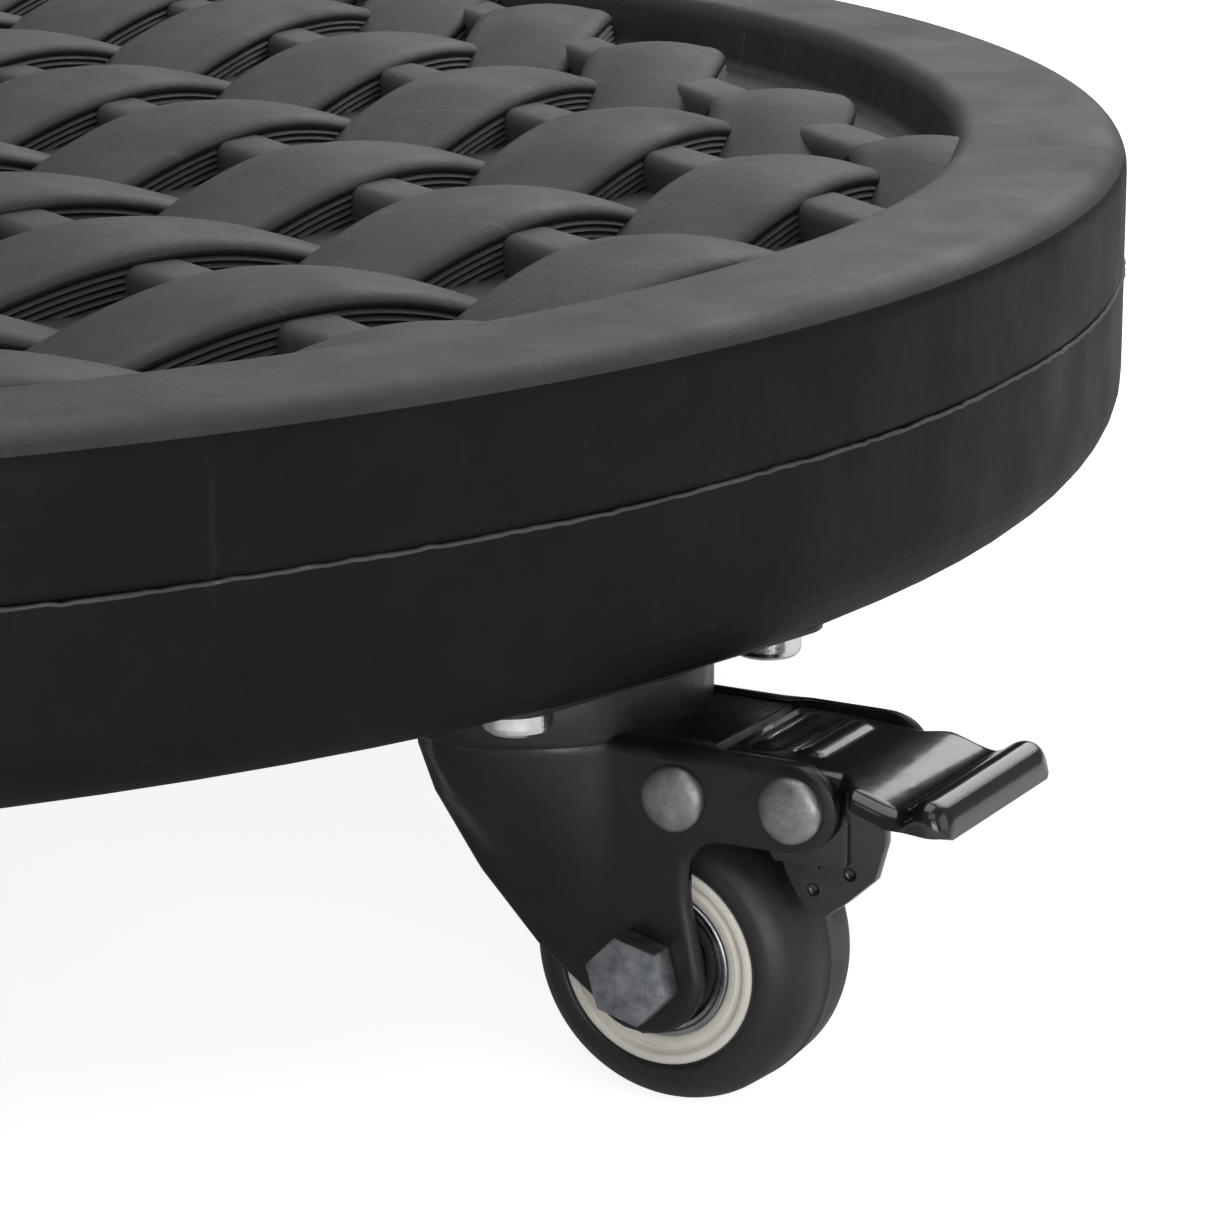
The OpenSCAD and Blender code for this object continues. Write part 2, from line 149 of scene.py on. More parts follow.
def prism(name, outline, y0, y1, bevel=0.35, segments=2):
    """An (x, z) outline made into a plate between two y values, its edges softened."""
    bm = bmesh.new()
    low = [bm.verts.new((x * MM, y0 * MM, z * MM)) for x, z in outline]
    high = [bm.verts.new((x * MM, y1 * MM, z * MM)) for x, z in outline]
    bm.faces.new(low)
    bm.faces.new(list(reversed(high)))
    count = len(outline)
    for k in range(count):
        n = (k + 1) % count
        bm.faces.new((low[n], low[k], high[k], high[n]))
    bm.normal_update()
    bmesh.ops.recalc_face_normals(bm, faces=bm.faces)
    sharp = [e for e in bm.edges if e.calc_face_angle(0) > math.radians(28)]
    if bevel:
        bmesh.ops.bevel(bm, geom=sharp, offset=bevel * MM, segments=segments,
                        affect="EDGES", profile=0.6, clamp_overlap=True)
    bmesh.ops.triangulate(bm, faces=[f for f in bm.faces if len(f.verts) > 4])
    mesh = bpy.data.meshes.new(name)
    bm.to_mesh(mesh)
    bm.free()
    obj = bpy.data.objects.new(name, mesh)
    bpy.context.scene.collection.objects.link(obj)
    mesh.polygons.foreach_set("use_smooth", [True] * len(mesh.polygons))
    sharpen(obj)
    return obj


def sharpen(obj, angle=38):
    """Keep real edges crisp under smooth shading."""
    bm = bmesh.new()
    bm.from_mesh(obj.data)
    limit = math.radians(angle)
    for e in bm.edges:
        e.smooth = not (len(e.link_faces) == 2 and e.calc_face_angle(0) > limit)
    bm.to_mesh(obj.data)
    bm.free()
    return obj


def outward(obj):
    """Turn every face to look out of its solid."""
    bm = bmesh.new()
    bm.from_mesh(obj.data)
    bmesh.ops.recalc_face_normals(bm, faces=bm.faces)
    bm.to_mesh(obj.data)
    bm.free()
    return obj


def join(name, objects):
    """One object from several."""
    bm = bmesh.new()
    for obj in objects:
        bm.from_mesh(obj.data)
    mesh = bpy.data.meshes.new(name)
    bm.to_mesh(mesh)
    bm.free()
    for obj in objects:
        bpy.data.objects.remove(obj)
    result = bpy.data.objects.new(name, mesh)
    bpy.context.scene.collection.objects.link(result)
    return result


def smooth01(x):
    x = np.clip(x, 0, 1)
    return x * x * (3 - 2 * x)


# ================================================================ materials
def new_material(name):
    mat = bpy.data.materials.new(name)
    mat.use_nodes = True
    tree = mat.node_tree
    return mat, tree, tree.nodes["Principled BSDF"]


def coords(tree, scale=(1, 1, 1)):
    place = tree.nodes.new("ShaderNodeTexCoord")
    mapping = tree.nodes.new("ShaderNodeMapping")
    mapping.inputs["Scale"].default_value = scale
    tree.links.new(place.outputs["Object"], mapping.inputs["Vector"])
    return mapping.outputs["Vector"]


def noise(tree, scale, detail=4.0, rough=0.55, vector=None):
    n = tree.nodes.new("ShaderNodeTexNoise")
    n.inputs["Scale"].default_value = scale
    n.inputs["Detail"].default_value = detail
    n.inputs["Roughness"].default_value = rough
    tree.links.new(vector or coords(tree), n.inputs["Vector"])
    return n.outputs["Fac"]


def ramp(tree, fac, stops):
    r = tree.nodes.new("ShaderNodeValToRGB")
    while len(r.color_ramp.elements) < len(stops):
        r.color_ramp.elements.new(0.5)
    for element, (at, colour) in zip(r.color_ramp.elements, stops):
        element.position = at
        element.color = (*colour, 1) if len(colour) == 3 else colour
    tree.links.new(fac, r.inputs["Fac"])
    return r.outputs["Color"]


def grey(v):
    return (v, v, v)


def mix(tree, fac, a, b):
    m = tree.nodes.new("ShaderNodeMix")
    m.data_type = "RGBA"
    for socket, value in ((m.inputs[0], fac), (m.inputs[6], a), (m.inputs[7], b)):
        if hasattr(value, "node"):
            tree.links.new(value, socket)
        else:
            socket.default_value = value if not isinstance(value, tuple) else (*value[:3], 1)
    return m.outputs[2]


def bump(tree, height, strength, distance, normal=None):
    b = tree.nodes.new("ShaderNodeBump")
    b.inputs["Strength"].default_value = strength
    b.inputs["Distance"].default_value = distance
    tree.links.new(height, b.inputs["Height"])
    if normal is not None:
        tree.links.new(normal, b.inputs["Normal"])
    return b.outputs["Normal"]


def deck_plastic(name, low, high, rough=(0.42, 0.6), specular=0.4, grain=1.0, painted_wall_shade=None):
    """Moulded plastic: grain, faint mottling, scuffs and specks; an optional factor paints shade onto
    upright faces by darkening their colour.
    """
    mat, tree, bsdf = new_material(name)
    cloud = ramp(tree, noise(tree, 14, 5), [(0.32, low), (0.7, high)])
    dust = ramp(tree, noise(tree, 620, 3, 0.7), [(0.66, grey(0)), (0.78, grey(1))])
    speck = mix(tree, dust, cloud, tuple(2.1 * c for c in high))
    blotch = ramp(tree, noise(tree, 95, 4, 0.7), [(0.4, grey(0)), (0.75, grey(0.5))])
    colour = mix(tree, blotch, speck, tuple(1.35 * c for c in high))
    scuff_place = coords(tree, (60, 900, 60))
    scuff = ramp(tree, noise(tree, 1.0, 2, 0.4, scuff_place), [(0.70, grey(0)), (0.76, grey(0.35))])
    colour = mix(tree, scuff, colour, tuple(2.4 * c for c in high))
    # painted shade: faces that stand upright take a darker colour, as though shadowed
    if painted_wall_shade:
        geometry = tree.nodes.new("ShaderNodeNewGeometry")
        split = tree.nodes.new("ShaderNodeSeparateXYZ")
        tree.links.new(geometry.outputs["True Normal"], split.inputs[0])
        wall = ramp(tree, split.outputs["Z"], [(0.12, grey(1)), (0.45, grey(0))])
        colour = mix(tree, wall, colour, tuple(painted_wall_shade * c for c in low))
    tree.links.new(colour, bsdf.inputs["Base Color"])
    tree.links.new(ramp(tree, noise(tree, 55, 4), [(0.3, grey(rough[0])), (0.72, grey(rough[1]))]),
                   bsdf.inputs["Roughness"])
    bsdf.inputs["Specular IOR Level"].default_value = specular
    fine = bump(tree, noise(tree, 2600, 3, 0.6), 0.35 * grain, 0.0002)
    mid = bump(tree, noise(tree, 420, 3, 0.55), 0.22 * grain, 0.0005, fine)
    tree.links.new(mid, bsdf.inputs["Normal"])
    return mat


def painted(name, base, rough, rust=0.0, orange=0.3, coat=0.0):
    """Black coating on pressed steel: orange-peel, chips and a little rust."""
    mat, tree, bsdf = new_material(name)
    body = ramp(tree, noise(tree, 160, 4), [(0.35, grey(base)), (0.75, grey(base * 1.9))])
    chips = ramp(tree, noise(tree, 900, 4, 0.75), [(0.735 - rust, grey(0)), (0.77 - rust, grey(1))])
    colour = mix(tree, chips, body, (0.085, 0.06, 0.05))
    tree.links.new(colour, bsdf.inputs["Base Color"])
    tree.links.new(ramp(tree, noise(tree, 240, 4), [(0.3, grey(rough * 0.75)), (0.75, grey(rough * 1.4))]),
                   bsdf.inputs["Roughness"])
    bsdf.inputs["Coat Weight"].default_value = coat
    bsdf.inputs["Coat Roughness"].default_value = 0.08
    peel = bump(tree, noise(tree, 520, 2, 0.4), orange, 0.0002)
    tree.links.new(bump(tree, chips, 0.2, 0.0001, peel), bsdf.inputs["Normal"])
    return mat


def plated(name, low, high, rough=(0.3, 0.5), tarnish=None):
    """Plated or dull steel with mottling and optional tarnish spots."""
    mat, tree, bsdf = new_material(name)
    colour = ramp(tree, noise(tree, 420, 5, 0.65), [(0.36, low), (0.66, high)])
    if tarnish:
        spots = ramp(tree, noise(tree, 780, 4, 0.7), [(0.56, grey(0)), (0.7, grey(0.75))])
        colour = mix(tree, spots, colour, tarnish)
    tree.links.new(colour, bsdf.inputs["Base Color"])
    bsdf.inputs["Metallic"].default_value = 1.0
    tree.links.new(ramp(tree, noise(tree, 300, 4), [(0.3, grey(rough[0])), (0.72, grey(rough[1]))]),
                   bsdf.inputs["Roughness"])
    tree.links.new(bump(tree, noise(tree, 1500, 4, 0.6), 0.3, 0.0001), bsdf.inputs["Normal"])
    return mat


def cream_plastic(name):
    mat, tree, bsdf = new_material(name)
    body = ramp(tree, noise(tree, 120, 4), [(0.3, (0.80, 0.74, 0.66)), (0.7, (0.93, 0.88, 0.80))])
    dirt = ramp(tree, noise(tree, 520, 5, 0.75), [(0.62, grey(0)), (0.8, grey(0.4))])
    colour = mix(tree, dirt, body, (0.22, 0.19, 0.165))
    tree.links.new(colour, bsdf.inputs["Base Color"])
    bsdf.inputs["Roughness"].default_value = 0.42
    bsdf.inputs["Subsurface Weight"].default_value = 0.05
    tree.links.new(bump(tree, noise(tree, 900, 3), 0.15, 0.0001), bsdf.inputs["Normal"])
    return mat


def tyre_material(name):
    mat, tree, bsdf = new_material(name)
    body = ramp(tree, noise(tree, 90, 4), [(0.35, (0.012, 0.012, 0.013)), (0.75, (0.024, 0.024, 0.026))])
    dust = ramp(tree, noise(tree, 1100, 3, 0.7), [(0.66, grey(0)), (0.8, grey(0.6))])
    tree.links.new(mix(tree, dust, body, (0.075, 0.074, 0.072)), bsdf.inputs["Base Color"])
    tree.links.new(ramp(tree, noise(tree, 200, 4), [(0.3, grey(0.36)), (0.72, grey(0.52))]),
                   bsdf.inputs["Roughness"])
    tree.links.new(bump(tree, noise(tree, 1800, 3), 0.2, 0.0001), bsdf.inputs["Normal"])
    return mat


MAT_TOP = deck_plastic("deck_top_plastic", (0.030, 0.030, 0.032), (0.044, 0.044, 0.046))
# a darker copy of the same deck plastic: painted shade for the upright side walls
MAT_SIDE_PAINTED_SHADE = deck_plastic("deck_side_plastic_painted_shade", (0.006, 0.006, 0.0075), (0.009, 0.0092, 0.011),
                        rough=(0.45, 0.6), specular=0.13, grain=0.6)
# the bands' upright walls get painted shade, darker than their tops
MAT_BAND = deck_plastic("deck_band_plastic", (0.033, 0.033, 0.035), (0.048, 0.048, 0.050), painted_wall_shade=0.3)
MAT_ROD = deck_plastic("deck_rod_plastic", (0.046, 0.046, 0.048), (0.064, 0.064, 0.066))
MAT_FLASH = deck_plastic("deck_flash_plastic", (0.05, 0.05, 0.052), (0.085, 0.085, 0.087))
MAT_FORK = painted("fork_black_coat", 0.004, 0.36, rust=0.01)
MAT_PEDAL = painted("pedal_gloss_black", 0.006, 0.17, orange=0.14, coat=0.6)
MAT_ZINC = plated("zinc_plate", (0.20, 0.215, 0.235), (0.40, 0.415, 0.44), rough=(0.34, 0.55))
MAT_BRIGHT_ZINC = plated("bright_zinc", (0.66, 0.68, 0.70), (0.86, 0.87, 0.88), rough=(0.12, 0.24))
MAT_RIVET = plated("rivet_steel", (0.27, 0.265, 0.28), (0.41, 0.40, 0.41), rough=(0.42, 0.6),
                   tarnish=(0.24, 0.15, 0.12))
MAT_RING = plated("bearing_ring_steel", (0.30, 0.31, 0.33), (0.44, 0.45, 0.47), rough=(0.25, 0.4))
MAT_SEAL = painted("bearing_seal", 0.012, 0.5, orange=0.1)
MAT_CREAM = cream_plastic("cream_core_plastic")
MAT_TYRE = tyre_material("tyre_polyurethane")


def paint(obj, material):
    obj.data.materials.clear()
    obj.data.materials.append(material)
    return obj


# ================================================================ deck
def shell_profile():
    """Section of the upper shell: well wall, flat rim, rounded edge and side wall."""
    inner_round, edge_round = 3.4, 4.6
    pts = [(1.0, FLOOR_Z), (WELL_R * 0.5, FLOOR_Z), (WELL_R - 1.5, FLOOR_Z)]
    pts += arc(WELL_R - 1.5, FLOOR_Z + 1.5, 1.5, -90, 0, 4)[1:]
    pts += arc(WELL_R + inner_round + 0.6, RIM_Z - inner_round, inner_round, 180, 90, 8)
    pts += [(WELL_R + 9, RIM_Z), (DECK_R - 11, RIM_Z)]
    pts += arc(DECK_R - edge_round - 0.02, RIM_Z - edge_round, edge_round, 90, 0, 10)
    pts += [(DECK_R, RIM_Z - 9), (DECK_R, PARTING_Z + 1.6), (DECK_R - 0.15, PARTING_Z + 0.5),
            (DECK_R - 0.6, PARTING_Z + 0.05)]
    pts += [(DECK_R - WALL, PARTING_Z + 0.05), (DECK_R - WALL, RIM_Z - WALL),
            (WELL_R + WALL, RIM_Z - WALL), (WELL_R + WALL, FLOOR_Z - WALL + 1), (1.0, FLOOR_Z - WALL + 1)]
    return pts


def build_shells():
    top = revolve("deck_rim_shell", shell_profile(), 288)
    outward(top)
    sharpen(top, 50)
    top.data.materials.append(MAT_TOP)
    top.data.materials.append(MAT_SIDE_PAINTED_SHADE)
    # the side wall below the rounded edge takes the darker copy of the plastic: painted shade
    for p in top.data.polygons:
        edge = math.hypot(p.center.x, p.center.y) / MM > DECK_R - 3.2
        if edge and p.center.z / MM < RIM_Z - 2.4:
            p.material_index = 1
    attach(top, "deck")
    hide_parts("deck_upper_shell")


def parting_flash():
    """The thin ragged line of flash where the shells meet."""
    steps = 900
    turn = np.linspace(0, 2 * np.pi, steps, endpoint=False)
    reach = 0.20 + 0.16 * rng.random(steps) + 0.12 * np.sin(turn * 37) * np.sin(turn * 11)
    drift = 0.10 * np.sin(turn * 23) + 0.08 * rng.standard_normal(steps)
    half = 0.22 + 0.12 * rng.random(steps)
    rings = []
    for k, t in enumerate(turn):
        z = PARTING_Z + drift[k]
        pts = [(DECK_R - 0.7, z - half[k]), (DECK_R + reach[k] * 0.5, z - half[k] * 0.7),
               (DECK_R + reach[k], z), (DECK_R + reach[k] * 0.5, z + half[k] * 0.7),
               (DECK_R - 0.7, z + half[k])]
        rings += [(r * math.cos(t), r * math.sin(t), h) for r, h in pts]
    obj = outward(mesh_object("deck_parting_flash", rings, grid_faces(steps, 5, True, True)))
    paint(obj, MAT_FLASH)
    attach(obj, "deck")


# ---------------------------------------------------------------- wicker
WEAVE_TURN = 120.0
ROD_PITCH = 0.234 * DECK_R
ROD_PHASE = 0.6
RODS = range(-4, 4)
STRIPS = range(-6, 24)
TUCK = 2.2
BAND_MID = 13.5
BAND_HALF = 11.5
CROWN = 0.9


def rod_angle(m):
    return np.radians(WEAVE_TURN - np.sign(m) * 1.05 * np.maximum(0, np.abs(m) - 0.6) ** 2)


def rod_offset(m):
    return ROD_PITCH * (m - np.sign(m) * 0.31 * np.maximum(0, np.abs(m) - 2.6) ** 2)


def strip_along(i, m):
    return DECK_R * (0.0325 * m * m - 0.685 + (0.0875 + 0.0014 * m * m) * i)


def crossing(i, m):
    """Plan place where strip i crosses rod m; both may be fractions."""
    a = rod_angle(m)
    along = strip_along(i, m) + BAND_MID
    off = rod_offset(m)
    return np.stack([off * np.sin(a) + along * np.cos(a), -off * np.cos(a) + along * np.sin(a)], -1)


def soft_floor(z):
    """Just under the well floor, depth is squeezed so that points never coincide."""
    level, squeeze = FLOOR_Z - 0.8, 0.08
    return np.where(z < level, level + (z - level) * squeeze, z)


def keep_in_well(xy, limit):
    r = np.hypot(xy[..., 0], xy[..., 1])
    scale = np.where(r > limit, (limit + (r - limit) * 0.02) / np.maximum(r, 1e-6), 1.0)
    return xy * scale[..., None]


def band_section(half, top):
    """Across a band: grooved walls with a little draft, rounded shoulders and a crowned top."""
    shoulder_w, shoulder_h, crown = 3.6, 2.3, CROWN
    pitch, cut_depth, grooves, per_groove, draft = 0.95, 0.4, 8, 4, 0.16
    side = []
    for k in range(grooves * per_groove, 0, -1):
        depth = k / per_groove * pitch
        cut = cut_depth * (0.5 - 0.5 * math.cos(2 * math.pi * k / per_groove))
        side.append((half + draft * depth - cut, top - shoulder_h - depth))
    for k in range(0, 8):
        a = math.radians(90 * k / 7)
        side.append((half - shoulder_w * (1 - math.cos(a)), top - shoulder_h * (1 - math.sin(a))))
    across = half - shoulder_w
    places = [1 - k / 3 for k in range(1, 6)]
    crest = [(across * u, top + crown * (1 - u * u)) for u in places]
    right = side + crest
    left = [(-w, h) for w, h in reversed(side)]
    return right + left


def build_bands():
    stations = np.linspace(-0.76, 0.76, 43)
    arch_span, lowest = 0.68, -1.5
    verts, faces, start = [], [], 0
    for j in RODS:
        m0 = j + ROD_PHASE
        for i in STRIPS:
            if (i + j) % 2 == 0:
                continue
            centre = crossing(float(i), m0)
            if np.hypot(*centre) > WELL_R + 26:
                continue
            m = m0 + stations
            path = crossing(np.full_like(m, i, dtype=float), m)
            tangent = np.gradient(path, axis=0)
            tangent /= np.linalg.norm(tangent, axis=1)[:, None]
            normal = np.stack([-tangent[:, 1], tangent[:, 0]], 1)
            wave = 0.5 + 0.5 * np.cos(np.pi * stations)
            bow = np.cos(np.pi / 2 * stations / arch_span)
            height = np.maximum(ARCH_H * (1 + 0.02 * rng.standard_normal()) * bow, lowest)
            wide = BAND_HALF * (0.80 + 0.20 * wave)
            rows = []
            for k in range(len(stations)):
                section = np.array(band_section(wide[k], FLOOR_Z + height[k] - CROWN))
                xy = path[k] + section[:, :1] * normal[k]
                xy = keep_in_well(xy, WELL_R + TUCK)
                z = soft_floor(section[:, 1])
                rows.append(np.column_stack([xy, z]))
            count = len(rows[0])
            verts.append(np.concatenate(rows))
            faces += grid_faces(len(rows), count, False, True, start)
            faces.append(tuple(start + c for c in range(count)))
            end = start + (len(rows) - 1) * count
            faces.append(tuple(end + c for c in range(count - 1, -1, -1)))
            start += len(rows) * count
    obj = mesh_object("deck_wicker_bands", np.concatenate(verts), faces)
    outward(obj)
    sharpen(obj, 75)
    paint(obj, MAT_BAND)
    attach(obj, "deck")


def build_rods():
    verts, faces, start = [], [], 0
    around, square, rod_r, lift = 32, 0.42, 5.3, 0.3
    for j in RODS:
        m0 = j + ROD_PHASE
        a = float(rod_angle(np.float64(m0)))
        off = float(rod_offset(np.float64(m0)))
        if abs(off) > WELL_R:
            continue
        reach = math.sqrt((WELL_R + 2) ** 2 - off * off)
        foot = np.array([off * math.sin(a), -off * math.cos(a)])
        along = np.linspace(-reach, reach, 90)
        rows = []
        for s in along:
            radius = rod_r + 0.12 * math.sin(s * 0.11 + j)
            t = np.linspace(0, 2 * np.pi, around, endpoint=False)
            side = radius * np.sign(np.cos(t)) * np.abs(np.cos(t)) ** square
            z = FLOOR_Z + lift + radius * np.sign(np.sin(t)) * np.abs(np.sin(t)) ** square
            z = soft_floor(z)
            centre = foot + s * np.array([math.cos(a), math.sin(a)])
            rows.append(np.column_stack([centre[0] - side * math.sin(a),
                                         centre[1] + side * math.cos(a), z]))
        verts.append(np.concatenate(rows))
        faces += grid_faces(len(rows), around, False, True, start)
        faces.append(tuple(start + c for c in range(around)))
        end = start + (len(rows) - 1) * around
        faces.append(tuple(end + c for c in range(around - 1, -1, -1)))
        start += len(rows) * around
    obj = mesh_object("deck_wicker_rods", np.concatenate(verts), faces)
    outward(obj)
    paint(obj, MAT_ROD)
    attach(obj, "deck")


# ================================================================ castors
# Local frame of each castor: origin at the axle's middle, +X towards the pedal, +Y towards the nut.
def local_frame(castor):
    joint = JOINTS[castor + "_wheel_spin"]
    y = Vector(joint["axis"]).normalized()
    z = Vector((0, 0, 1))
    x = y.cross(z)
    rot = Matrix((x, y, z)).transposed().to_4x4()
    return Matrix.Translation(Vector(joint["pos_m"])) @ rot


def local_point(castor, world):
    return local_frame(castor).inverted() @ Vector(world) / MM


first = CASTORS[0]
pivot = local_point(first, JOINTS[first + "_brake_press"]["pos_m"])
PIVOT = (pivot.x, pivot.z)
TRAIL = -local_point(first, JOINTS[first + "_swivel_turn"]["pos_m"]).x
WHEEL_R = JOINTS[first + "_wheel_spin"]["pos_m"][2] / MM
FORK_OUT = 13.8
SHEET = 2.0
FORK_TOP = 29.4
HEAD_R = 21.8
SKIRT_H = 5.8
BEND_R = 2.2
ANCHOR = (4.5, 23.0)
EAR_R = 5.5
CORE_R = 13.1
CORE_HALF = 9.85
TYRE_HALF = 10.7


def leg_limits(z):
    """Left and right x of a fork leg at height z."""
    slope = [(-4.5, -6.6), (1.1, -14.4), (9.6, -22.7), (18.7, -29.2), (24.5, -31.6), (FORK_TOP, -32.0)]
    boss, fillet_z, fillet_r, neck = 8.0, 13.3, 5.0, 6.0
    round_x = math.sqrt(max(boss * boss - z * z, 0))
    heights, lefts = zip(*slope)
    left = -round_x if z < heights[0] else float(np.interp(z, heights, lefts))
    right = round_x if z < 0 else float(np.interp(z, (0, 10), (boss, neck)))
    if z > fillet_z:
        up = min(z - fillet_z, fillet_r)
        right = neck + fillet_r - math.sqrt(max(fillet_r ** 2 - up ** 2, 0))
    if z >= PIVOT[1] - EAR_R:
        dz = z - PIVOT[1]
        right = PIVOT[0] + math.sqrt(max(EAR_R ** 2 - dz * dz, 0))
    return left, right


def build_leg(name):
    """One fork side: flat near the axle, swelling out to the round head at the top."""
    ear_bottom = PIVOT[1] - EAR_R
    zs = sorted(set(np.round(np.concatenate([
        np.linspace(-7.98, -4, 8), np.linspace(-4, ear_bottom - 0.06, 26),
        ear_bottom + EAR_R * (1 - np.cos(np.linspace(0.02, np.pi - 0.25, 24))),
        np.linspace(FORK_TOP - 1.2, FORK_TOP, 6)]), 4)))
    cols = 44
    wide_cols = 30
    rise = np.sin(np.pi / 2 * np.linspace(0, 1, wide_cols))
    dense = 1 - rise[::-1]
    close = np.sin(np.pi / 2 * np.linspace(0, 1, cols - wide_cols + 1))[1:]
    turn_x, fade, swell_z, swell_share = 8.0, 8.0, 5, 0.97
    ear_x, nose_x, pedal_gap = 7.0, 8.5, 0.25
    outer, inner = [], []
    for z in zs:
        left, right = leg_limits(z)
        split = left + (min(right, turn_x) - left) * 0.75
        x = np.concatenate([left + (split - left) * dense, split + (right - split) * close])
        swell = np.sqrt(np.maximum(HEAD_R ** 2 - (x + TRAIL) ** 2, 0)) - FORK_OUT
        swell = np.maximum(swell, 0) * smooth01((x - left) / fade)
        y = FORK_OUT + swell * float(smooth01((z - swell_z) / (FORK_TOP - swell_z))) * swell_share
        bend = max(0.0, z - (FORK_TOP - BEND_R))
        over_ear = smooth01((x - ear_x) / 2.0)
        y = y - (BEND_R - math.sqrt(max(BEND_R ** 2 - bend ** 2, 0))) * (1 - 0.45 * over_ear)
        pedal_room = np.where(x > nose_x, CHEEK_OUT + pedal_gap, 0)
        edge = np.minimum(x - left, right - x)
        soft = 0.5 * (1 - smooth01(edge / 0.9)) + 0.4 * (1 - float(smooth01((z - zs[0]) / 0.9)))
        outer.append(np.column_stack([x, y - soft, np.full(cols, z)]))
        inside = np.maximum(y - SHEET + soft * 0.4, pedal_room)
        inner.append(np.column_stack([x, inside, np.full(cols, z)]))
    rows = len(zs)
    verts = np.concatenate(outer + inner)
    faces = grid_faces(rows, cols)
    half = rows * cols
    faces += [tuple(half + k for k in reversed(f)) for f in grid_faces(rows, cols)]
    border = [r * cols for r in range(rows)] + [(rows - 1) * cols + c for c in range(1, cols)]
    border += [r * cols + cols - 1 for r in range(rows - 2, -1, -1)] + list(range(cols - 2, 0, -1))
    for k, a in enumerate(border):
        b = border[(k + 1) % len(border)]
        faces.append((a, b, b + half, a + half))
    return outward(mesh_object(name, verts, faces))


def mirrored(obj, name):
    mesh = obj.data.copy()
    mesh.transform(Matrix.Scale(-1, 4, (0, 1, 0)))
    copy = bpy.data.objects.new(name, mesh)
    bpy.context.scene.collection.objects.link(copy)
    return outward(copy)


def build_fork():
    near = build_leg("leg_a")
    far = mirrored(near, "leg_b")
    head = revolve("head", [(5.0, FORK_TOP - SHEET), (HEAD_R - 1.4, FORK_TOP - SHEET)]
                   + arc(HEAD_R - 1.4, FORK_TOP - SHEET + 1.4, 1.4, -90, 0, 4)
                   + arc(HEAD_R - 0.6, FORK_TOP + SKIRT_H - 0.6, 0.6, 0, 90, 3)
                   + [(HEAD_R - 1.7, FORK_TOP + SKIRT_H), (HEAD_R - 1.7, FORK_TOP + 0.6),
                      (HEAD_R - 2.4, FORK_TOP), (5.0, FORK_TOP)], 96)
    outward(head)
    sharpen(head, 50)
    head.data.transform(Matrix.Translation((-TRAIL * MM, 0, 0)))
    bridge = [(-6.0, FORK_TOP - SHEET), (6.6, FORK_TOP - SHEET - 0.2), (8.6, FORK_TOP - SHEET - 1.2),
              (9.2, FORK_TOP - 1.6), (8.0, FORK_TOP - 0.3), (-6.0, FORK_TOP)]
    web = prism("web", bridge, -FORK_OUT + BEND_R - 0.3, FORK_OUT - BEND_R + 0.3, 0.3)
    fork = join("fork_sheet", [near, far, head, web])
    paint(fork, MAT_FORK)
    return fork


def build_rivets():
    """Domed heads, a little off round, on both sides of the fork."""
    pieces = []
    for n, (x, z) in enumerate((ANCHOR, PIVOT)):
        r, h = 4.1, 1.9
        dome = [(0, FORK_OUT + h), (r * 0.35, FORK_OUT + h - 0.05), (r * 0.68, FORK_OUT + h - 0.28),
                (r * 0.88, FORK_OUT + h - 0.62), (r * 0.975, FORK_OUT + h - 1.02),
                (r, FORK_OUT + h - 1.4), (r * 0.985, FORK_OUT - 0.05), (2.45, FORK_OUT - 0.05)]
        profile = dome + [(p[0], -p[1]) for p in reversed(dome)]
        pin = lathe_cap("rivet", profile, 56)
        for v in pin.data.vertices:
            a = math.atan2(v.co.z, v.co.x)
            wobble = 1 + 0.012 * math.sin(3 * a + n) + 0.008 * math.sin(7 * a)
            v.co.x *= wobble
            v.co.z *= wobble
        pin.data.transform(Matrix.Translation((x * MM, 0, z * MM)))
        pieces.append(outward(pin))
    rivets = join("rivet_pair", pieces)
    for p in rivets.data.polygons:
        p.use_smooth = True
    sharpen(rivets, 60)
    return paint(rivets, MAT_RIVET)


def hex_outline(flats, turn):
    r = flats / math.sqrt(3)
    return [(r * math.cos(math.radians(turn + 60 * k)), r * math.sin(math.radians(turn + 60 * k)))
            for k in range(6)]


def build_bolt():
    """Hex head with a chamfered face, and the threaded end past the nut."""
    head_h, flats, turn = 4.0, 10.0, -14.0
    head = prism("head", hex_outline(flats, turn), -FORK_OUT - head_h, -FORK_OUT, 0.45)
    end = FORK_OUT + 5.0
    pitch, crest, root = 1.0, 3.0, 2.55
    thread = [(0, -FORK_OUT + 0.2), (crest, -FORK_OUT + 0.2), (crest, end - 1)]
    for k in range(2):
        y = end - 1 + k * pitch
        thread += [(root, y + 0.35), (crest, y + 0.75)]
    thread += [(2.2, end + 1.1), (0, end + 1.1)]
    shank = outward(lathe_cap("shank", thread, 40))
    sharpen(shank, 40)
    return paint(join("axle_bolt_hex", [head, shank]), MAT_ZINC)


def build_nut():
    nut = prism("axle_nut_hex", hex_outline(10.0, 8.0), FORK_OUT + 0.05, FORK_OUT + 4.3, 0.3)
    collar = outward(lathe_cap("collar", [(0, FORK_OUT + 4.0), (4.2, FORK_OUT + 4.0),
                                          (4.0, FORK_OUT + 4.8), (3.4, FORK_OUT + 5.0),
                                          (0, FORK_OUT + 5.0)], 40))
    sharpen(collar, 40)
    return paint(join("axle_nut_hex", [nut, collar]), MAT_ZINC)


